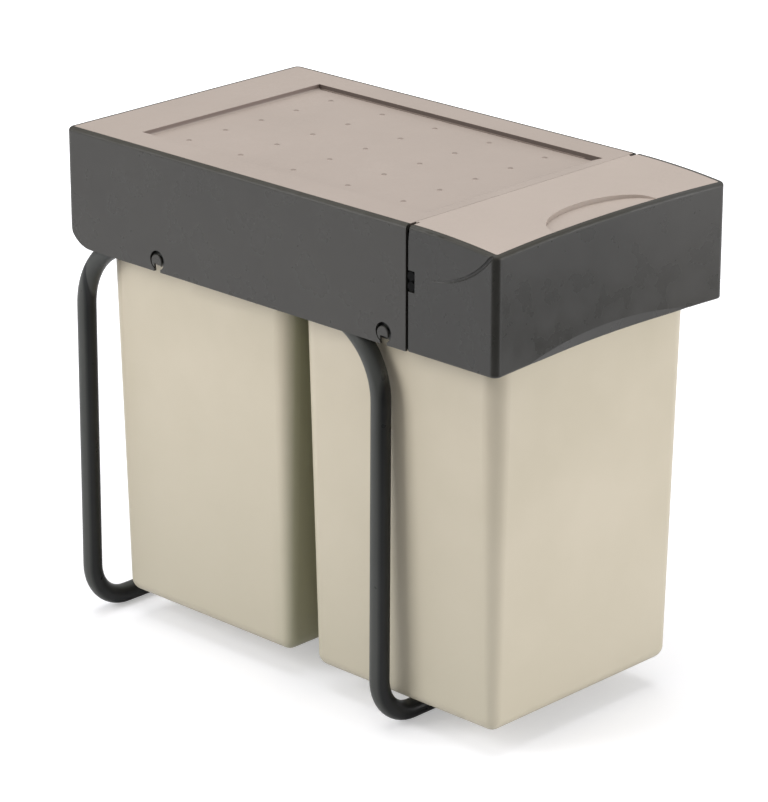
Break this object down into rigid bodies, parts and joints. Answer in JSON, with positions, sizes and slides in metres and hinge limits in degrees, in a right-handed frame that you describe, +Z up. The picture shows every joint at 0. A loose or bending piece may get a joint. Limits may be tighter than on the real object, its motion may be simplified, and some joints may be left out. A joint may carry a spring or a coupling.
{
  "type": "pull-out waste unit",
  "caption": "Floor-standing pull-out waste unit for a base cabinet: a bent tube stand under a lidded housing, with tapered bins that hang in a sliding carrier.",
  "frame": {"origin": "middle of the unit's footprint, on the floor", "axes": "+Z up, -Y to the front (the way the bins pull out), +X to the right seen from the front"},
  "size_m": [0.262, 0.468, 0.425],
  "materials": {
    "housing_plastic": "fine moulded grain, satin",
    "plate_plastic": "fine moulded grain, satin",
    "bin_plastic": "smooth moulded, satin",
    "black_plastic": "smooth moulded, satin",
    "tube_steel": "powder coated, satin",
    "plated_steel": "zinc plated, semi bright",
    "ball_steel": "polished"
  },
  "bodies": {
    "stand": {"housing_shell": "housing_plastic", "lid_tray": "plate_plastic", "lid_screws": "plated_steel", "catch_left": "black_plastic", "catch_right": "black_plastic", "frame_tube_left": "tube_steel", "frame_tube_right": "tube_steel", "spigot_front": "plated_steel", "spigot_rear": "plated_steel", "housing_studs": "housing_plastic", "rail_bracket_left": "tube_steel", "rail_bracket_right": "tube_steel", "rail_rivets": "plated_steel", "rail_outer_left": "plated_steel", "rail_outer_right": "plated_steel"},
    "cages_outer": {"cage_outer_left": "black_plastic", "cage_outer_right": "black_plastic", "balls_outer": "ball_steel"},
    "mid_rails": {"rail_mid_left": "plated_steel", "rail_mid_right": "plated_steel"},
    "cages_inner": {"cage_inner_left": "black_plastic", "cage_inner_right": "black_plastic", "balls_inner": "ball_steel"},
    "carriage": {"rail_inner_left": "plated_steel", "rail_inner_right": "plated_steel", "bin_carrier": "tube_steel", "carrier_screws": "plated_steel", "front_shell": "housing_plastic", "front_top": "plate_plastic", "top_screws": "plated_steel", "front_screws": "plated_steel"},
    "front_bin": {"front_bin": "bin_plastic"},
    "rear_bin": {"rear_bin": "bin_plastic"}
  },
  "joints": [
    {"name": "carriage_slide", "type": "slide", "parent": "stand", "child": "carriage", "axis": [0, -1, 0], "range_m": [0, 0.36]},
    {"name": "mid_slide", "type": "slide", "parent": "stand", "child": "mid_rails", "axis": [0, -1, 0], "range_m": [0, 0.18]},
    {"name": "cage_outer_slide", "type": "slide", "parent": "stand", "child": "cages_outer", "axis": [0, -1, 0], "range_m": [0, 0.09]},
    {"name": "cage_inner_slide", "type": "slide", "parent": "stand", "child": "cages_inner", "axis": [0, -1, 0], "range_m": [0, 0.27]},
    {"name": "front_bin_lift", "type": "slide", "parent": "carriage", "child": "front_bin", "axis": [0, 0, 1], "range_m": [0, 0.028]},
    {"name": "rear_bin_lift", "type": "slide", "parent": "carriage", "child": "rear_bin", "axis": [0, 0, 1], "range_m": [0, 0.028]}
  ],
  "couplings": [
    {"joint": "mid_slide", "follows": "carriage_slide", "ratio": 0.5},
    {"joint": "cage_outer_slide", "follows": "carriage_slide", "ratio": 0.25},
    {"joint": "cage_inner_slide", "follows": "carriage_slide", "ratio": 0.75}
  ]
}
